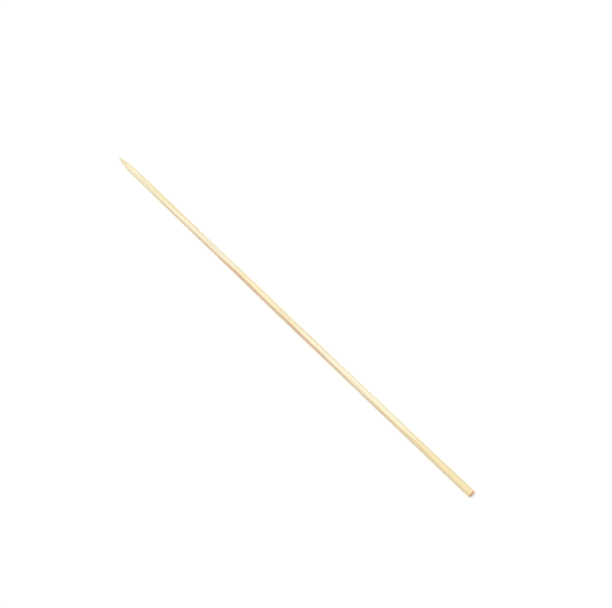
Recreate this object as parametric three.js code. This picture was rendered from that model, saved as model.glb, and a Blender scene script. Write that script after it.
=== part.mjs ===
// A round bamboo skewer: one stick, ground to a point at one end and sawn square at the other.
// It lies along X with Z up. The origin is the middle of the sawn face, and the point is at +X.
import * as THREE from "three";

// Driving sizes, in millimetres
const length = 250; // from the sawn face to the tip
const diameter = 3; // of the round shank
const pointLength = 10; // of the ground cone, before its tip is rounded
const tipDiameter = 0.35; // the tip is a little blunt, as a ground bamboo point is
const tipOffset = 0.12; // how far the grinding left the tip from the middle of the stick
const edgeRadius = 0.2; // the worn edge round the sawn face
const bow = 0.3; // the stick's natural bend: how far its middle stands from its ends

// How finely the round and bent shapes are divided
const facetWidth = 0.26; // round the shank
const stationStep = 7.5; // along the bent shank
const coneStep = 2; // along the cone
const arcSteps = 3; // in each rounded edge

const radius = diameter / 2;
const tipRadius = tipDiameter / 2;
const coneStart = length - pointLength;
const facets = Math.max(12, Math.round((Math.PI * diameter) / facetWidth));

// The cone's side touches the rounded tip. It leaves the shank's edge at this angle to the stick.
function coneHalfAngle() {
  const reach = pointLength - tipRadius;
  return Math.atan2(radius, reach) - Math.asin(tipRadius / Math.hypot(radius, reach));
}

// Straight steps of about the given size, from the path's current point to the one given.
function lineInSteps(path, x, y, step) {
  const start = path.currentPoint.clone();
  const end = new THREE.Vector2(x, y);
  const count = Math.max(1, Math.round(start.distanceTo(end) / step));
  for (let i = 1; i <= count; i++) {
    const at = start.clone().lerp(end, i / count);
    path.lineTo(at.x, at.y);
  }
}

// Half of the stick's outline, from the axis out to its surface and back: x is the distance from
// the axis, and y is the distance from the sawn face.
function outline() {
  const slope = coneHalfAngle();
  const tipCentre = length - tipRadius;
  const path = new THREE.Path();
  path.moveTo(0, 0);
  path.lineTo(radius - edgeRadius, 0);
  path.absarc(radius - edgeRadius, edgeRadius, edgeRadius, -Math.PI / 2, 0, false);
  lineInSteps(path, radius, coneStart, stationStep);
  const coneEnd = tipCentre + tipRadius * Math.sin(slope);
  lineInSteps(path, tipRadius * Math.cos(slope), coneEnd, coneStep);
  path.absarc(0, tipCentre, tipRadius, slope, Math.PI / 2, false);
  return withoutRepeats(path.getPoints(arcSteps));
}

// A path repeats the point where one of its curves ends and the next begins. The last point is
// set on the axis exactly.
function withoutRepeats(points) {
  const kept = points.filter((p, i) => i === 0 || p.distanceTo(points[i - 1]) > 1e-6);
  kept[kept.length - 1].x = 0;
  return kept;
}

// How far the middle of the stick lies from the X axis, at a distance from the sawn face.
// The bend lies flat, as a bent stick comes to rest, and the tip leans up from it.
function centreAt(along) {
  const share = along / length;
  const leaning = Math.max(0, along - coneStart) / pointLength;
  return { y: 4 * bow * share * (1 - share), z: tipOffset * leaning };
}

function skewerGeometry() {
  const geometry = new THREE.LatheGeometry(outline(), facets);
  geometry.rotateZ(-Math.PI / 2); // the lathe turns about Y, and the stick lies along X
  const position = geometry.getAttribute("position");
  for (let i = 0; i < position.count; i++) {
    const centre = centreAt(position.getX(i));
    position.setY(i, position.getY(i) + centre.y);
    position.setZ(i, position.getZ(i) + centre.z);
  }
  geometry.computeVertexNormals();
  return geometry;
}

const bamboo = new THREE.MeshStandardMaterial({ color: 0xf3dfb0, roughness: 0.62, metalness: 0 });

const skewer = new THREE.Mesh(skewerGeometry(), bamboo);
skewer.name = "skewer";

const part = new THREE.Group();
part.add(skewer);

export default part;
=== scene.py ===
# %% [markdown]
# A bamboo skewer, one piece at a time
#
# The object is a single stick of bamboo, 250 mm long and 3 mm thick. It is split from the wall of
# a bamboo culm, drawn through a round die, sawn square at one end and ground to a point at the
# other. There is no second piece, so everything that makes it look real has to come from three
# things: a true outline, the grain that runs along it, and the two ends where that grain is cut.
#
# The solid model already holds the size and the place. This script loads it as a fixed frame,
# measures it, and puts a finer stick with a bamboo finish exactly where it lies.

import math
import random

import bpy
from mathutils import Euler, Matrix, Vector, noise


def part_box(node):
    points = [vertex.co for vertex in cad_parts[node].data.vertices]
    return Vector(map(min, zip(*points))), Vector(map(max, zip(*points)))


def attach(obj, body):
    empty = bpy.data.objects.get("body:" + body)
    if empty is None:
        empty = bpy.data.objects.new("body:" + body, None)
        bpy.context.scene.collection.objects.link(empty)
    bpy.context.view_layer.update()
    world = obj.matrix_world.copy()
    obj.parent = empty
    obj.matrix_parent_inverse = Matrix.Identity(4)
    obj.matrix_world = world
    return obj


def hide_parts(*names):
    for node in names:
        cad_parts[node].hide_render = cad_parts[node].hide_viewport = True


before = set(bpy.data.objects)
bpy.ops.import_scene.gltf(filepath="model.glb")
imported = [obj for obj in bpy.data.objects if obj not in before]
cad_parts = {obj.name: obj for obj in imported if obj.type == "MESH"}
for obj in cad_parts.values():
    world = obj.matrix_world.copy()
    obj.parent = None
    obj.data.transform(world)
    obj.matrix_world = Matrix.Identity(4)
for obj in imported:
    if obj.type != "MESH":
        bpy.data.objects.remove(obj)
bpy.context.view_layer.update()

# %% [markdown]
# Sizes come from the frame wherever it holds them. The stick lies along X from its sawn face at
# x = 0, so the box's far corner gives the length, and its lowest point gives the radius. The
# stick bends a little to one side: what the box has more on that side is the height of the bend.
# The sizes of the two ends can't be read from a box, so they are written here once.
#
# Blender works in metres, and a skewer is easier to think about in millimetres. All the shaping
# below is in millimetres, and one factor turns it into metres when the mesh is made.

# %% Measure the stick
MM = 0.001
low_corner, high_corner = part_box("skewer")
LENGTH = high_corner.x / MM
RADIUS = -low_corner.z / MM
BOW = (high_corner.y + low_corner.y) / MM
POINT_LENGTH = 10.0
TIP_RADIUS = 0.175
TIP_OFFSET = 0.12
EDGE_RADIUS = 0.2
CONE_START = LENGTH - POINT_LENGTH
print(f"length {LENGTH:.1f} mm, radius {RADIUS:.2f} mm, bend {BOW:.2f} mm")


def centre_of(along):
    """The middle of the stick at a distance from the sawn face: (y, z), in millimetres."""
    share = along / LENGTH
    leaning = max(0.0, along - CONE_START) / POINT_LENGTH
    return 4 * BOW * share * (1 - share), TIP_OFFSET * leaning


# %% [markdown]
# The camera stands where the photographer stood. Lines that are parallel on the real thing meet at
# a vanishing point in its picture, and that gave the lens and the direction: a 70 mm lens on a
# 36 mm sensor, looking down at 51 degrees. The stick's two ends have known places in the picture,
# so the camera's distance and place follow. It is put where the middle of the sawn face falls on
# its pixel, at a distance that brings the tip close to its own. The line printed at the end tells
# how close.

# %% Place the camera
PHOTO_WIDTH = 612
PHOTO_HEIGHT = 608
SENSOR_WIDTH = 36.0
LENS = 70.0
FOCAL_PIXELS = LENS / SENSOR_WIDTH * PHOTO_WIDTH
VIEW_AZIMUTH = math.radians(230.1)
VIEW_ELEVATION = math.radians(51.4)
SAWN_END_PIXEL = (472, 494)
SAWN_END_DEPTH = 0.4766
TIP_PIXEL = (119, 157)


def point_in_view(pixel, depth):
    """Where a pixel lies in the camera's own axes, at a depth in metres."""
    right = (pixel[0] - PHOTO_WIDTH / 2) / FOCAL_PIXELS
    down = (pixel[1] - PHOTO_HEIGHT / 2) / FOCAL_PIXELS
    return Vector((right, -down, -1)) * depth


def add_camera():
    lens = bpy.data.cameras.new("photo_camera")
    lens.lens = LENS
    lens.sensor_width = SENSOR_WIDTH
    lens.clip_start = 0.01
    camera = bpy.data.objects.new("photo_camera", lens)
    camera.rotation_euler = Euler((math.pi / 2 - VIEW_ELEVATION, 0, VIEW_AZIMUTH))
    turned = camera.rotation_euler.to_matrix()
    sawn_end = Vector((0, 0, 0))
    camera.location = sawn_end - turned @ point_in_view(SAWN_END_PIXEL, SAWN_END_DEPTH)
    bpy.context.scene.collection.objects.link(camera)
    bpy.context.scene.camera = camera
    return camera


def photo_pixel(camera, place):
    """The pixel of the photograph's frame in which a place in the scene is seen."""
    seen = camera.matrix_world.inverted() @ place
    across = PHOTO_WIDTH / 2 + FOCAL_PIXELS * seen.x / -seen.z
    down = PHOTO_HEIGHT / 2 - FOCAL_PIXELS * seen.y / -seen.z
    return round(across, 1), round(down, 1)


camera = add_camera()
bpy.context.view_layer.update()
tip_place = Vector((LENGTH, *centre_of(LENGTH))) * MM
print("the tip falls at pixel", photo_pixel(camera, tip_place), "and should be at", TIP_PIXEL)

# %% [markdown]
# Materials are easiest to read as sums. Blender's shader editor needs a Math node for every plus
# and times, which soon hides the idea, so this class wraps one output of a node and gives it
# Python's own operators. `1 - mask` then adds a Math node by itself, and `mask * 0.3` another.
# Those are for plain values only: a Math node would turn a colour grey, so colours are mixed by
# `mix` further on. Every other node comes from `add_node`, which sets the node's own settings
# first, such as an operation, and then gives each of its sockets a value or a link.

# %% Sums of sockets
class Wire:
    """One output of a node, which can be used in a sum as a number can."""

    def __init__(self, tree, socket):
        self.tree = tree
        self.socket = socket

    def output(self, name):
        """Another output of the same node."""
        return Wire(self.tree, self.socket.node.outputs[name])

    def __add__(self, other):
        return calculate("ADD", self, other)

    def __radd__(self, other):
        return calculate("ADD", other, self)

    def __sub__(self, other):
        return calculate("SUBTRACT", self, other)

    def __rsub__(self, other):
        return calculate("SUBTRACT", other, self)

    def __mul__(self, other):
        return calculate("MULTIPLY", self, other)

    def __rmul__(self, other):
        return calculate("MULTIPLY", other, self)

    def __truediv__(self, other):
        return calculate("DIVIDE", self, other)

    def rise(self, start, end):
        """0 up to start, 1 from end on, and a smooth rise between them."""
        sockets = {"Value": self, "From Min": start, "From Max": end}
        return add_node(self.tree, "ShaderNodeMapRange", sockets, interpolation_type="SMOOTHSTEP")


def add_node(tree, kind, sockets, output=0, **settings):
    """Adds a node and returns the chosen output as a Wire."""
    made = tree.nodes.new(kind)
    for name, value in settings.items():
        setattr(made, name, value)
    for name, value in sockets.items():
        if isinstance(value, Wire):
            tree.links.new(value.socket, made.inputs[name])
        else:
            made.inputs[name].default_value = value
    return Wire(tree, made.outputs[output])


def calculate(operation, first, second):
    """A Math node on two values, at least one of them a Wire."""
    tree = (first if isinstance(first, Wire) else second).tree
    return add_node(tree, "ShaderNodeMath", {0: first, 1: second}, operation=operation)


def empty_tree(owner):
    """The node tree of a material or a world, cleared of what Blender puts there."""
    owner.use_nodes = True
    owner.node_tree.nodes.clear()
    return owner.node_tree


def finish_tree(tree, kind, shader):
    """Joins a finished shader to the output that Blender renders."""
    tree.links.new(shader.socket, tree.nodes.new(kind).inputs["Surface"])


# %% [markdown]
# Colours are written as a painter's hex codes, in the way that they are seen on a screen. Blender
# mixes light, not paint on a screen, so each code is turned into linear light once, here.

# %% Colours
def paint(code):
    """A colour written as #RRGGBB, as the linear red, green, blue and alpha that nodes take."""
    parts = [int(code[i:i + 2], 16) / 255 for i in (1, 3, 5)]
    light = [c / 12.92 if c <= 0.04045 else ((c + 0.055) / 1.055) ** 2.4 for c in parts]
    return (*light, 1.0)


def mix(share, under, over):
    """A colour that goes from under to over as share goes from 0 to 1."""
    sockets = {0: share, 6: under, 7: over}
    return add_node(share.tree, "ShaderNodeMix", sockets, output=2, data_type="RGBA")


print(f"the screen's middle grey sends back {paint('#808080')[0]:.2f} of the light that white does")

# %% [markdown]
# The stick was photographed on plain white, in light so soft that it throws hardly a shadow. A
# studio would use a white table under a large overhead softbox. Here the softbox is a sun lamp
# that is 50 degrees wide, because a sun lights the whole table evenly however far one looks, and
# the white walls of the studio are the world. Their two levels add up to one, at which pure white
# renders as white and every colour about as it is written.
#
# The lamp leans a little towards the flank that faces the camera. That flank then stays nearly as
# light as the top, as it is in the photograph, and of the shadow only a thin line beside the
# stick is left. The world is white for the camera and for reflections, whatever it lends as light.

# %% Light the table
WORLD_LEVEL = 0.5
LAMP_LEVEL = 0.5
LAMP_WIDTH = math.radians(50)
LAMP_LEAN = Vector((0.12, 0.18, 1.0))


def seen_directly(tree):
    """1 for the camera's own rays and for those of a reflection, and 0 for light that travels."""
    path = add_node(tree, "ShaderNodeLightPath", {}, "Is Camera Ray")
    return calculate("MAXIMUM", path, path.output("Is Glossy Ray"))


def light_world():
    world = bpy.data.worlds.new("studio")
    tree = empty_tree(world)
    level = WORLD_LEVEL + seen_directly(tree) * (1 - WORLD_LEVEL)
    sky = add_node(tree, "ShaderNodeBackground", {"Color": (1, 1, 1, 1), "Strength": level})
    finish_tree(tree, "ShaderNodeOutputWorld", sky)
    bpy.context.scene.world = world


def add_lamp():
    sun = bpy.data.lights.new("softbox", "SUN")
    sun.angle = LAMP_WIDTH
    sun.energy = LAMP_LEVEL * math.pi / LAMP_LEAN.normalized().z
    lamp = bpy.data.objects.new("softbox", sun)
    lamp.rotation_euler = LAMP_LEAN.to_track_quat("Z", "Y").to_euler()
    bpy.context.scene.collection.objects.link(lamp)


light_world()
add_lamp()
bpy.context.scene.view_settings.view_transform = "Standard"
print(f"pure white renders at {WORLD_LEVEL + LAMP_LEVEL:.2f}")

# %% [markdown]
# The table is one big square at the height of the stick's lowest point. White paper sends back
# about nine tenths of the light. The last tenth is added for the camera's eye alone, so that
# the table is as white as the background, and the shadow on it stays.

# %% The table
TABLE_SIZE = 6.0
PAPER = 0.9
PAPER_GLOW = 0.12


def table_finish():
    material = bpy.data.materials.new("white_table")
    tree = empty_tree(material)
    paper = add_node(tree, "ShaderNodeBsdfPrincipled", {
        "Base Color": (PAPER, PAPER, PAPER, 1),
        "Roughness": 0.9,
        "Specular IOR Level": 0.0,
        "Emission Color": (1, 1, 1, 1),
        "Emission Strength": seen_directly(tree) * PAPER_GLOW,
    })
    finish_tree(tree, "ShaderNodeOutputMaterial", paper)
    return material


def add_table(height):
    half = TABLE_SIZE / 2
    sides = ((-half, -half), (half, -half), (half, half), (-half, half))
    corners = [(x, y, height) for x, y in sides]
    mesh = bpy.data.meshes.new("table")
    mesh.from_pydata(corners, [], [(0, 1, 2, 3)])
    mesh.materials.append(table_finish())
    table = bpy.data.objects.new("table", mesh)
    bpy.context.scene.collection.objects.link(table)


add_table(low_corner.z)
print(f"the table lies at z = {low_corner.z / MM:.2f} mm")

# %% [markdown]
# Now the stick itself. A cylinder from Blender's menu would be too perfect. A real skewer is
# nearly round, but the die leaves it a hair out of true, and its fibre bundles stand as low
# ridges that run along it, because the soft tissue between them wears away first.
#
# Both can come from one idea: noise that is stretched along the grain. A noise field that changes
# every quarter of a millimetre across the stick, but only every few centimetres along it, is
# made of threads. Where the round surface cuts through those threads they show as ridges, and
# where the ground point cuts them at a slant they show as long tongues, as they do on the real
# stick. The same field is asked for its height everywhere, so the ridges run on into the point.
#
# Wood that has left the die only dries and shrinks. So the die's circle is the most that the skin
# can reach, and all the relief lies inside it.

# %% Grain relief
BUNDLE_WIDTH = 0.26
BUNDLE_RUN = 55.0
HAIR_WIDTH = 0.13
HAIR_RUN = 14.0
BUNDLE_HEIGHT = 0.016
HAIR_HEIGHT = 0.007
OUT_OF_ROUND = 0.012
THICK_AND_THIN = 0.010
SHRINKAGE = 0.02


def threads(along, across, up, width, run):
    """Noise between about -1 and 1, in threads of a width that keep their form over a run."""
    return noise.noise(Vector((along / run, across / width, up / width)))


def relief(along, angle):
    """How far the skin of the shank stands out from the die's circle, in mm: never above 0."""
    across = RADIUS * math.cos(angle)
    up = RADIUS * math.sin(angle)
    bundles = BUNDLE_HEIGHT * threads(along, across, up, BUNDLE_WIDTH, BUNDLE_RUN)
    hairs = HAIR_HEIGHT * threads(along, across, up, HAIR_WIDTH, HAIR_RUN)
    oval = OUT_OF_ROUND * math.cos(2 * angle + 0.7 + along / 140)
    girth = THICK_AND_THIN * noise.noise(Vector((along / 38, 7.5, 2.5)))
    return min(0.0, bundles + hairs + oval + girth - SHRINKAGE)


around = [relief(LENGTH / 2, math.radians(turn)) for turn in range(360)]
print(f"halfway along, the skin lies {-max(around):.3f} to {-min(around):.3f} mm inside the die")

# %% [markdown]
# The point is ground, not cut with a knife: the stick rolls against an abrasive belt, which takes
# a clean cone out of it. The cone is never quite on the stick's own axis, so it bites earlier on
# one side, and its shoulder runs round the stick in a wave. That wave needs no drawing. The
# surface is wherever the shank or the cone lies nearer to the middle, so taking the smaller of
# the two radii at each place makes the shoulder by itself, ridges and all.

# %% The point's cone
CONE_LEAN = 0.05
CONE_LEAN_ANGLE = 0.9
TORN_FIBRE = 0.010


def half_angle():
    """The cone's half angle, where its side touches the small round at the tip."""
    reach = POINT_LENGTH - TIP_RADIUS
    return math.atan2(RADIUS, reach) - math.asin(TIP_RADIUS / math.hypot(RADIUS, reach))


def cone_radius(along, angle):
    slope = math.tan(half_angle())
    left = LENGTH - along
    side = RADIUS - slope * (along - CONE_START)
    share = min(1.0, max(0.0, left / POINT_LENGTH))
    off_axis = CONE_LEAN * share * math.cos(angle - CONE_LEAN_ANGLE)
    torn = TORN_FIBRE * share * threads(
        along, side * math.cos(angle), side * math.sin(angle), HAIR_WIDTH, 1.6
    )
    return side + off_axis + torn


def round_tip(along):
    """The radius of the small ball that the cone ends in."""
    from_middle = along - (LENGTH - TIP_RADIUS)
    return math.sqrt(max(0.0, TIP_RADIUS ** 2 - from_middle ** 2))


def worn_edge(along):
    """The radius at the rounded edge of the sawn face."""
    into_edge = max(0.0, EDGE_RADIUS - along)
    return RADIUS - EDGE_RADIUS + math.sqrt(EDGE_RADIUS ** 2 - into_edge ** 2)


def skin_radius(along, angle):
    """How far the stick's surface is from its middle, at a distance and an angle, in mm."""
    touching = LENGTH - TIP_RADIUS + TIP_RADIUS * math.sin(half_angle())
    if along >= touching:
        return round_tip(along)
    shank = worn_edge(along) + relief(along, angle) * min(1.0, along / EDGE_RADIUS)
    return min(shank, cone_radius(along, angle))


print(f"the point's half angle is {math.degrees(half_angle()):.1f} degrees")

# %% [markdown]
# The mesh is a stack of rings. Rings about half a millimetre apart are plenty on the shank, where
# nothing changes fast. The point and the worn edge need them much closer. Each ring is a
# closed loop of vertices, and neighbouring rings are joined by quads. This is what Blender's own
# screw or loft tools do, but here every vertex can ask the grain for its height.

# %% Rings along the stick
AROUND = 144
SHANK_STEP = 0.6
POINT_STEP = 0.1
EDGE_RINGS = 7
TIP_RINGS = 7
FINE_FROM = CONE_START - 2.0


def evenly(start, end, step):
    """Distances from start up to, but not at, end, in equal steps of about the given size."""
    count = max(1, round((end - start) / step))
    return [start + (end - start) * i / count for i in range(count)]


def ring_places():
    quarter = [math.pi / 2 * i / EDGE_RINGS for i in range(EDGE_RINGS)]
    edge = [EDGE_RADIUS * (1 - math.cos(turn)) for turn in quarter]
    touching = half_angle()
    tip_turns = [touching + (math.pi / 2 - touching) * i / TIP_RINGS for i in range(TIP_RINGS)]
    tip = [LENGTH - TIP_RADIUS + TIP_RADIUS * math.sin(turn) for turn in tip_turns]
    return (
        edge
        + evenly(EDGE_RADIUS, FINE_FROM, SHANK_STEP)
        + evenly(FINE_FROM, tip[0], POINT_STEP)
        + tip
    )


def ring(along):
    """One ring of the skin: a list of places in millimetres."""
    centre_y, centre_z = centre_of(along)
    turns = [2 * math.pi * i / AROUND for i in range(AROUND)]
    sizes = [skin_radius(along, turn) for turn in turns]
    return [
        (along, centre_y + size * math.cos(turn), centre_z + size * math.sin(turn))
        for turn, size in zip(turns, sizes)
    ]


skin_rings = [ring(along) for along in ring_places()]
print(len(skin_rings), "rings of", AROUND, "vertices")

# %% [markdown]
# The sawn face is where a skewer shows what it is made of. A fine saw leaves shallow marks across
# it, uneven in depth and spacing and all bent alike, as the blade was. One row of noise does
# that: it changes quickly over the bent lines and hardly at all along them.
#
# Where the blade came out of the wood it pulled a few fibres with it, so a short stretch of the
# rim is ragged. There, single vertices of the outermost ring stand out of the face by a seeded,
# uneven amount, each about as wide as a fibre.

# %% Sawn face
FACE_RINGS = 28
SAW_MARK = 0.028
SAW_PITCH = 0.14
SAW_BEND = 0.10
RAGGED_AT = 5.6
RAGGED_SPREAD = 0.6
RAGGED_REACH = 0.12


def saw_marks(across, up):
    """The height of the blade's marks, which run across the face in slightly bent lines."""
    bent = up + SAW_BEND * across * across
    return SAW_MARK * noise.noise(Vector((bent / SAW_PITCH, across * 0.4, 6.5)))


def torn_fibres():
    """How far the fibre at each vertex of the rim stands out of the sawn face, in mm."""
    draw = random.Random(3)
    reaches = []
    for k in range(AROUND):
        away = (2 * math.pi * k / AROUND - RAGGED_AT + math.pi) % (2 * math.pi) - math.pi
        strength = math.exp(-((away / RAGGED_SPREAD) ** 2))
        reaches.append(RAGGED_REACH * strength * max(0.0, draw.gauss(0.1, 0.5)))
    return reaches


def face_rings(rim):
    """Rings from just inside the rim to the middle of the sawn face."""
    fibres = torn_fibres()
    rings = []
    for i in range(1, FACE_RINGS):
        size = 1 - i / FACE_RINGS
        standing = 1.0 if i == 1 else 0.0
        rings.append([
            (saw_marks(y * size, z * size) - standing * fibre, y * size, z * size)
            for (_, y, z), fibre in zip(rim, fibres)
        ])
    return rings


sawn_rings = face_rings(skin_rings[0])
longest = -min(place[0] for place in sawn_rings[0])
print(f"{len(sawn_rings)} rings on the sawn face, and a longest torn fibre of {longest:.2f} mm")

# %% [markdown]
# All the rings now go into one closed mesh, from the middle of the sawn face out over its rim and
# along to the tip. A single vertex closes each end. The faces are smooth-shaded, because at this
# spacing the normals carry the roundness.

# %% Join the rings
def stick_mesh(rings, face_middle, tip):
    """A closed mesh over the rings, with a single vertex at each end."""
    places = [face_middle] + [place for one in rings for place in one] + [tip]
    last = len(places) - 1
    faces = [(0, 1 + (k + 1) % AROUND, 1 + k) for k in range(AROUND)]
    for i in range(len(rings) - 1):
        near = 1 + i * AROUND
        far = near + AROUND
        for k in range(AROUND):
            beside = (k + 1) % AROUND
            faces.append((near + k, near + beside, far + beside, far + k))
    end = 1 + (len(rings) - 1) * AROUND
    faces += [(last, end + k, end + (k + 1) % AROUND) for k in range(AROUND)]
    mesh = bpy.data.meshes.new("bamboo_skewer")
    mesh.from_pydata([Vector(place) * MM for place in places], [], faces)
    mesh.polygons.foreach_set("use_smooth", [True] * len(mesh.polygons))
    mesh.update()
    return mesh


all_rings = sawn_rings[::-1] + skin_rings
tip_mm = (LENGTH, *centre_of(LENGTH))
stick = stick_mesh(all_rings, (saw_marks(0, 0), 0, 0), tip_mm)
print(len(stick.polygons), "faces, valid:", not stick.validate())

# %% [markdown]
# A flat map of the skin helps whoever paints or bakes this stick later. Unrolled in one strip it
# would be 27 times as long as it is wide, and nearly all of a square picture would be wasted.
# So the strip is cut into five lengths that lie above each other like lines of text. The sawn
# face gets the sixth line to itself, drawn larger, because its detail is finer.

# %% Unroll the skin
LINES = 5
LINE_HEIGHT = 1 / (LINES + 1)
LINE_LENGTH = LENGTH / LINES
LINE_MARGIN = 0.01
FACE_VERTICES = 1 + AROUND * len(sawn_rings)


def on_skin(line, along, side):
    """The map's place for a distance along the stick and a share of the way round it."""
    run = (along - line * LINE_LENGTH) / LINE_LENGTH
    u = LINE_MARGIN + (1 - 2 * LINE_MARGIN) * run
    v = LINE_MARGIN + (1 - 2 * LINE_MARGIN) * side
    return u, LINE_HEIGHT * (line + v)


def on_face(y, z):
    """The map's place for a point of the sawn face, in a disc on the last line."""
    middle = LINE_HEIGHT / 2
    size = middle * (1 - 4 * LINE_MARGIN) / RADIUS
    return middle + y * size, 1 - middle + z * size


def unroll(mesh):
    layer = mesh.uv_layers.new(name="OFBake")
    last = len(mesh.vertices) - 1
    for face in mesh.polygons:
        places = [mesh.vertices[v].co / MM for v in face.vertices]
        if min(face.vertices) < FACE_VERTICES:
            spots = [on_face(place.y, place.z) for place in places]
        else:
            spots = skin_spots(face, places, last)
        for loop, spot in zip(face.loop_indices, spots):
            layer.uv[loop].vector = spot


def skin_spots(face, places, last):
    sides = [(v - 1) % AROUND for v in face.vertices if v != last]
    seam = max(sides) - min(sides) > 1
    sides = [side + AROUND * (seam and side == 0) for side in sides]
    if last in face.vertices:
        sides.insert(list(face.vertices).index(last), sum(sides) / len(sides))
    middle = sum(place.x for place in places) / len(places)
    line = min(LINES - 1, int(middle / LINE_LENGTH))
    return [on_skin(line, place.x, side / AROUND) for place, side in zip(places, sides)]


unroll(stick)
print("unrolled in", LINES, "lines and a disc")

# %% [markdown]
# Bamboo has no growth rings. Cut across, its wall is a pale spongy tissue dotted with darker
# fibre bundles, small and crowded towards the green skin of the culm, and larger and further
# apart towards the hollow. A skewer is a thin rod out of that wall, so one flank is denser and
# darker than the other. Here that flank is turned to face the camera, and its tan also serves as
# painted shade. Along the rod the bundles are seen as fine tan lines.
#
# A picture wrapped round the stick could show the lines or the dots, but not both, and they would
# never meet at the rim. A solid texture does both: the dots are laid out across the stick and
# drawn out along it, and every surface simply shows what it cuts through. The first thing that
# such a texture needs is a place within the wood, in millimetres, that follows the stick's bend
# as the real fibres do. The stick was also split a little off the grain, so its own axis and the
# fibres part by a millimetre or so over its length, and the lines drift slowly round it.

# %% Where a point lies in the wood
SLANT_ACROSS = 0.005
SLANT_UP = -0.003


def stick_place(tree):
    """Three Wires, in millimetres: along the stick, and across and up from its middle."""
    place = add_node(tree, "ShaderNodeTexCoord", {}, "Object")
    split = add_node(tree, "ShaderNodeSeparateXYZ", {"Vector": place}, "X")
    along = split / MM
    share = along / LENGTH
    bend = share * (1 - share) * (4 * BOW)
    return along, split.output("Y") / MM - bend, split.output("Z") / MM


def wood_place(place):
    """The same place in the wood, whose fibres lie at a slight slant to the stick."""
    along, across, up = place
    return along, across + along * SLANT_ACROSS, up + along * SLANT_UP


drift = LENGTH * math.hypot(SLANT_ACROSS, SLANT_UP)
print(f"the fibres drift {drift:.1f} mm sideways over the stick's length")

# %% [markdown]
# Most patterns in the wood are threads: wide as a fibre, and a hundred times as long. Dividing the
# place by a width across the grain and by a much longer run along it turns a noise texture's
# round clouds into such threads, which come and go softly.
#
# The bundles are different: each one runs the whole length, and they lie at nearly even distances
# from each other, as cells do. So they are the cells of a flat Voronoi texture, laid out across
# the stick and not along it at all. Slow noise makes them waver a little on their way. Towards the
# skin of the culm the place is multiplied by more, which draws the cells closer together there.

# %% Threads and fibre bundles
# The culm's skin side is turned to the flank that faces the camera, so the stripe there is also
# painted shade.
SKIN_ANGLE = math.radians(10)
BUNDLE_SPACING = 0.44
CROWDING = 0.2
WAVER = 0.5


def thread_noise(place, width, run, shift=0.0, detail=2.0):
    """Soft noise from 0 to 1, in threads of a width that keep their form over a run."""
    along, across, up = place
    squeezed = {"X": along / run + shift, "Y": across / width, "Z": up / width}
    vector = add_node(along.tree, "ShaderNodeCombineXYZ", squeezed)
    sockets = {"Vector": vector, "Scale": 1.0, "Detail": detail}
    return add_node(along.tree, "ShaderNodeTexNoise", sockets)


def skin_depth(place):
    """How far a place lies from the stick's middle towards the culm's skin, in millimetres."""
    _, across, up = place
    return across * math.cos(SKIN_ANGLE) + up * math.sin(SKIN_ANGLE)


def bundle_distance(wood, depth):
    """0 in the middle of each fibre bundle, growing to about 0.5 halfway to the next one."""
    _, across, up = wood
    closer = (1 + depth * CROWDING) / BUNDLE_SPACING
    flat = {
        "X": across * closer + thread_noise(wood, 3.0, 25.0, shift=1.0) * WAVER,
        "Y": up * closer + thread_noise(wood, 3.0, 25.0, shift=2.0) * WAVER,
    }
    vector = add_node(depth.tree, "ShaderNodeCombineXYZ", flat)
    sockets = {"Vector": vector, "Scale": 1.0, "Randomness": 0.75}
    return add_node(
        depth.tree, "ShaderNodeTexVoronoi", sockets, "Distance", voronoi_dimensions="2D"
    )


bundles_in_section = math.pi * (RADIUS / BUNDLE_SPACING) ** 2
print(f"about {bundles_in_section:.0f} fibre bundles are cut by the sawn face")

# %% [markdown]
# The two ends show other colours than the shank, so the finish must know them. The sawn face is
# simply the first tenth of a millimetre. The point is ground through the skin, so there whatever
# lies deeper than the skin is fresh wood. That is a better test than a distance along the stick,
# because it follows the wavy shoulder of the cone by itself.
#
# Colour, gloss and relief all need these masks and patterns. One object holds them, so that each
# is made once.

# %% What the finish is made from
SAWN_DEPTH = 0.14
SKIN_DEPTH = 0.12


def from_middle(place):
    """The distance of a place from the middle of the stick, in millimetres."""
    _, across, up = place
    flat = add_node(across.tree, "ShaderNodeCombineXYZ", {"Y": across, "Z": up})
    return add_node(across.tree, "ShaderNodeVectorMath", {0: flat}, "Value", operation="LENGTH")


class Grain:
    """The patterns of the wood, each a Wire that is made once."""

    def __init__(self, tree):
        self.place = stick_place(tree)
        self.wood = wood_place(self.place)
        self.along = self.place[0]
        self.depth = skin_depth(self.place)
        self.outwards = from_middle(self.place)
        distance = bundle_distance(self.wood, self.depth)
        self.bundles = 1 - distance.rise(0.17, 0.27)
        self.cores = 1 - distance.rise(0.10, 0.20)
        self.speckle = thread_noise(self.wood, 0.07, 4.0, detail=3.0)
        self.sawn = 1 - self.along.rise(0.02, SAWN_DEPTH)
        deeper = 1 - self.outwards.rise(RADIUS - SKIN_DEPTH, RADIUS - SKIN_DEPTH / 2)
        self.ground = deeper * self.along.rise(CONE_START - 1.5, CONE_START - 1.0)


print(f"at the point, all that lies {SKIN_DEPTH} mm or more under the skin counts as fresh wood")
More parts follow.
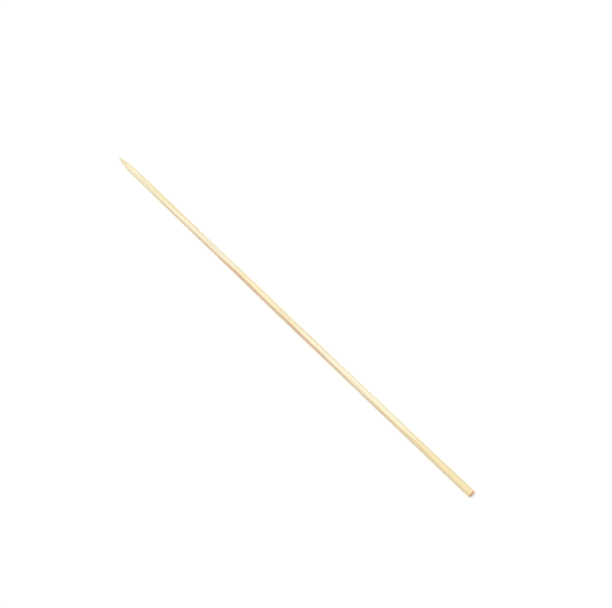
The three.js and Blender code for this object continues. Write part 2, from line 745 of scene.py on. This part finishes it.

# %% [markdown]
# The colours are those of fresh, bleached bamboo. The soft tissue is cream, in long pale and
# yellow bands, with fibres finer than a hair in it. Towards the culm's hollow, on the flank turned
# away from the camera, it turns straw-coloured: partly that side's own tone, and partly painted
# shade that darkens the far edge. Over most of its length the stick carries a tan stripe on the
# flank that faces the camera: partly the last of the dense wood beside the culm's skin, which the
# die didn't take off, and partly painted shade for a darker, warmer flank. Here and there a fibre
# has gone brown.
#
# The stripe is where the depth towards the skin passes a limit. Slow noise moves that limit, so
# the stripe swells, thins out and breaks up as it does on the real stick, and a rise and fall
# along the stick ends it before the two ends.

# %% The colours of the shank
IVORY = paint("#FFFBE8")
CREAM = paint("#FFF9D8")
STRAW = paint("#FBEAAD")
HOLLOW_SIDE_AND_SHADE = paint("#EDCF93")
TAN = paint("#E6B58B")
RUST = paint("#CC9069")
FIBRE = paint("#DDB480")
BROWN = paint("#9C6B45")
STRIPE_START = 36.0
STRIPE_END = 190.0
STRIPE_FADE = 35.0


def stripe_and_flank_shade_mask(grain):
    """1 in the tan stripe on the flank that faces the camera: partly dense skin-side wood, partly
    painted shade.
    """
    wander = thread_noise(grain.wood, 1.6, 42.0, shift=3.0) - 0.5
    streaks = thread_noise(grain.wood, 0.16, 30.0, shift=6.0) - 0.5
    # Partly the dense skin side, and partly painted shade on the flank that faces the camera.
    skin_side_and_shade = (grain.depth + wander * 1.5 + streaks * 1.1).rise(0.95, 1.45)
    begins = grain.along.rise(STRIPE_START - STRIPE_FADE, STRIPE_START + STRIPE_FADE)
    ends = grain.along.rise(STRIPE_END - STRIPE_FADE, STRIPE_END + STRIPE_FADE)
    return skin_side_and_shade * begins * (1 - ends)


def soft_tissue(grain):
    """The cream of the shank, with its bands and its finest fibres, and a far flank that is partly
    painted shade.
    """
    bands = thread_noise(grain.wood, 1.1, 62.0).rise(0.40, 0.62)
    pale = thread_noise(grain.wood, 0.45, 38.0, shift=12.0).rise(0.50, 0.66)
    # The far flank, towards the culm's hollow: partly its own straw tone, partly painted shade on
    # the edge turned from the camera.
    hollow_and_shade = 1 - grain.depth.rise(-1.5, -0.8)
    fibres = thread_noise(grain.wood, 0.085, 20.0, shift=4.0).rise(0.46, 0.60)
    colour = mix(bands * 0.8, CREAM, STRAW)
    colour = mix(pale * 0.7, colour, IVORY)
    colour = mix(hollow_and_shade * 0.7, colour, HOLLOW_SIDE_AND_SHADE)
    return mix(fibres * 0.18, colour, FIBRE)


def shank_colour(grain):
    stripe = stripe_and_flank_shade_mask(grain)
    rusty = thread_noise(grain.wood, 0.30, 26.0, shift=7.0).rise(0.50, 0.64)
    lines = thread_noise(grain.wood, 0.15, 40.0, shift=9.0).rise(0.635, 0.66)
    # The tan stripe: partly the skin side's own colour, partly painted shade on the camera's flank.
    colour = mix(stripe * 0.8, soft_tissue(grain), mix(rusty * 0.6, TAN, RUST))
    colour = mix(grain.bundles * (0.22 + stripe * 0.2), colour, FIBRE)
    return mix(lines * 0.7, colour, BROWN)


print(f"the stripe has half its strength at {STRIPE_START:.0f} and at {STRIPE_END:.0f} mm")

# %% [markdown]
# Over the last few centimetres towards the sawn end the shank grows warmer and darker: partly the
# cut end's own warmer tone, and partly painted shade. The face is a strong peach with brown
# bundles, where the saw scorches it, and its brown rim is painted shade. Its soft tissue is
# spongy, which shows as a fine mottling. On the ground point the wood is a little yellower than
# the skin, and the bundles lie open in long tongues.

# %% The colours of the two ends
PEACH = paint("#FFD0A0")
SPONGE = paint("#F2B988")
RIM_PAINTED_SHADE = paint("#B97A4E")
PORE = paint("#8A5330")
WARM_END_AND_SHADE = paint("#F6E1AE")
GROUND_WOOD = paint("#F8E6BA")
TONGUE = paint("#D3A573")
WARM_UP_TO = 12.0
WARM_GONE = 42.0


def sawn_colour(grain):
    mottling = thread_noise(grain.place, 0.06, 0.5, detail=3.0).rise(0.40, 0.60)
    # The brown rim of the sawn face is painted shade, darker towards the skin.
    rim = grain.outwards.rise(RADIUS - 0.45, RADIUS - 0.05)
    colour = mix(mottling * 0.5, PEACH, SPONGE)
    colour = mix(rim * 0.7, colour, RIM_PAINTED_SHADE)
    colour = mix(grain.bundles * 0.5, colour, FIBRE)
    return mix(grain.cores * 0.85, colour, PORE)


def end_colours(colour, grain):
    """The shank's colour, changed towards both ends of the stick."""
    # Towards the sawn end: partly the end's own warmer tone, and partly painted shade.
    warmth_and_shade = 1 - grain.along.rise(WARM_UP_TO, WARM_GONE)
    opened = mix(grain.bundles * 0.2 + grain.cores * 0.35, GROUND_WOOD, TONGUE)
    colour = mix(warmth_and_shade * 0.85, colour, WARM_END_AND_SHADE)
    colour = mix(grain.ground * 0.6, colour, opened)
    return mix(grain.sawn, colour, sawn_colour(grain))


print(f"the warm end fades out between {WARM_UP_TO:.0f} and {WARM_GONE:.0f} mm from the sawn face")

# %% [markdown]
# The finish is one Principled shader. Fibres are harder than the tissue between them, so they
# polish to a soft sheen and stand a little proud, while the sawn face is matt. The grinding belt
# leaves scratches that run round the point, across the grain: the same noise again, but short
# along the stick and wide across it.
#
# The relief goes through a Bump node whose height is written in millimetres: with its distance
# set to one millimetre, a height of 0.01 is a hundredth of a millimetre, as on the real thing.

# %% The bamboo finish
def fine_relief(grain):
    """The height of what is too fine for the mesh, in millimetres."""
    scratches = thread_noise(grain.place, 2.0, 0.05, detail=1.0) * grain.ground
    sunk = grain.cores * grain.sawn
    return grain.bundles * 0.008 + grain.speckle * 0.016 + scratches * 0.008 - sunk * 0.03


def bamboo_finish():
    material = bpy.data.materials.new("bamboo")
    tree = empty_tree(material)
    grain = Grain(tree)
    polish = grain.bundles * 0.10
    matt = grain.ground * 0.12 + grain.sawn * 0.20
    relief_bump = {"Height": fine_relief(grain), "Distance": MM, "Strength": 1.0}
    shader = add_node(tree, "ShaderNodeBsdfPrincipled", {
        "Base Color": end_colours(shank_colour(grain), grain),
        "Roughness": 0.50 + grain.speckle * 0.16 - polish + matt,
        "Normal": add_node(tree, "ShaderNodeBump", relief_bump),
    })
    finish_tree(tree, "ShaderNodeOutputMaterial", shader)
    return material


stick.materials.append(bamboo_finish())
print(len(stick.materials[0].node_tree.nodes), "nodes in the bamboo finish")

# %% [markdown]
# Last, the finished stick takes the place of its plain solid, which is hidden. It moves with the
# solid's body.

# %% Hand it over
skewer = bpy.data.objects.new("bamboo_skewer", stick)
bpy.context.scene.collection.objects.link(skewer)
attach(skewer, "root")
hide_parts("skewer")
